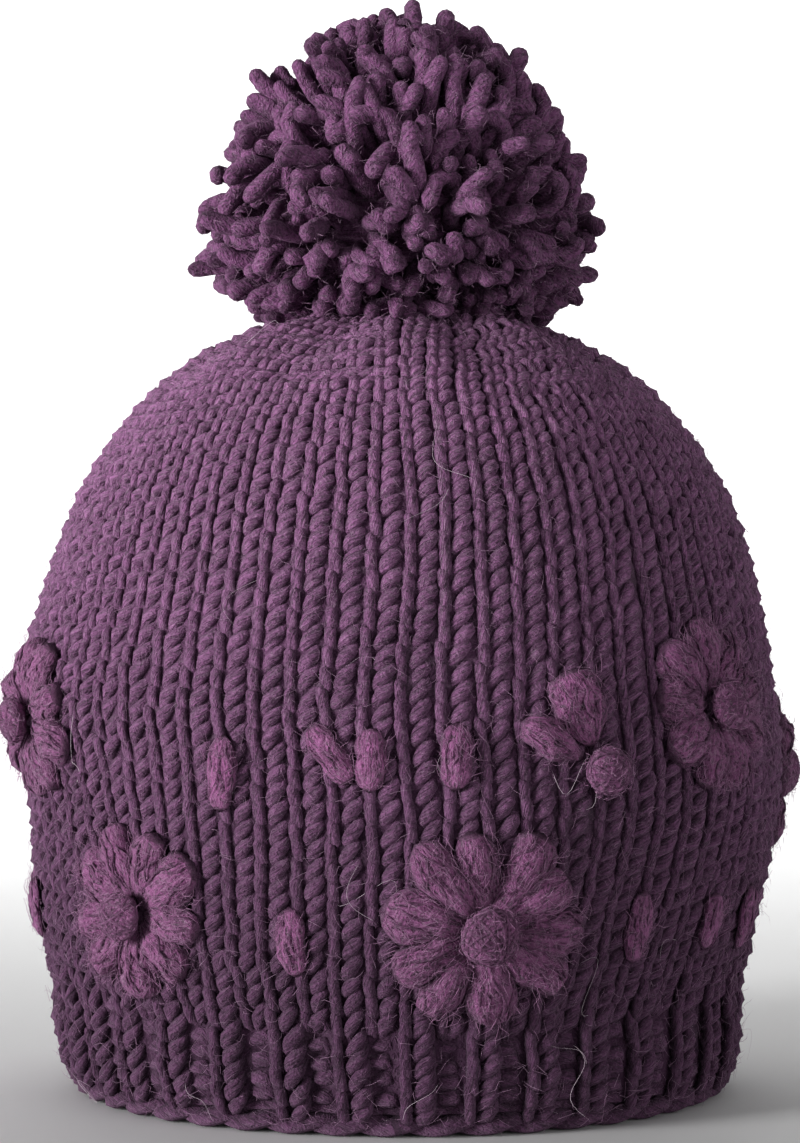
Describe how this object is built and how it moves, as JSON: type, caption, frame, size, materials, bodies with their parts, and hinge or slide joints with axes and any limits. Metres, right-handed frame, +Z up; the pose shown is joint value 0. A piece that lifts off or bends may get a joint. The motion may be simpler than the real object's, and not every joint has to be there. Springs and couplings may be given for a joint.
{
  "type": "beanie",
  "caption": "Knitted wool beanie: stocking-stitch crown gathered under a pompom, ribbed band at the rim, and raised embroidered flowers round it. Worn on the head.",
  "frame": {"origin": "centre of the rim, on the surface that the hat stands on", "axes": "+Z up through the pompom, front of the hat faces -Y, +X to the right in the front view"},
  "size_m": [0.1928, 0.1962, 0.2594],
  "materials": {
    "knit_wool": "thick hand-knitted wool yarn, plum purple, with stray fibres",
    "pompom_wool": "cut ends of the same wool yarn, plum purple",
    "flower_wool": "brushed wool yarn, a little lighter and redder than the knit"
  },
  "bodies": {
    "root": {"bud_knot": "flower_wool", "bud_petal_1": "flower_wool", "bud_petal_2": "flower_wool", "crown": "knit_wool", "flower_back_knot": "flower_wool", "flower_back_left_knot": "flower_wool", "flower_back_left_petals": "flower_wool", "flower_back_petals": "flower_wool", "flower_back_right_knot": "flower_wool", "flower_back_right_petals": "flower_wool", "flower_far_left_knot": "flower_wool", "flower_far_left_petals": "flower_wool", "flower_far_right_knot": "flower_wool", "flower_far_right_petals": "flower_wool", "flower_front_knot": "flower_wool", "flower_front_petals": "flower_wool", "flower_left_knot": "flower_wool", "flower_left_petals": "flower_wool", "flower_right_knot": "flower_wool", "flower_right_petals": "flower_wool", "loose_stitch_01": "flower_wool", "loose_stitch_02": "flower_wool", "loose_stitch_03": "flower_wool", "loose_stitch_04": "flower_wool", "loose_stitch_05": "flower_wool", "loose_stitch_06": "flower_wool", "loose_stitch_07": "flower_wool", "loose_stitch_08": "flower_wool", "loose_stitch_09": "flower_wool", "loose_stitch_10": "flower_wool", "loose_stitch_11": "flower_wool", "loose_stitch_12": "flower_wool", "loose_stitch_13": "flower_wool", "loose_stitch_14": "flower_wool", "loose_stitch_15": "flower_wool", "loose_stitch_16": "flower_wool", "loose_stitch_17": "flower_wool", "pompom": "pompom_wool", "rib_band": "knit_wool"}
  },
  "joints": []
}
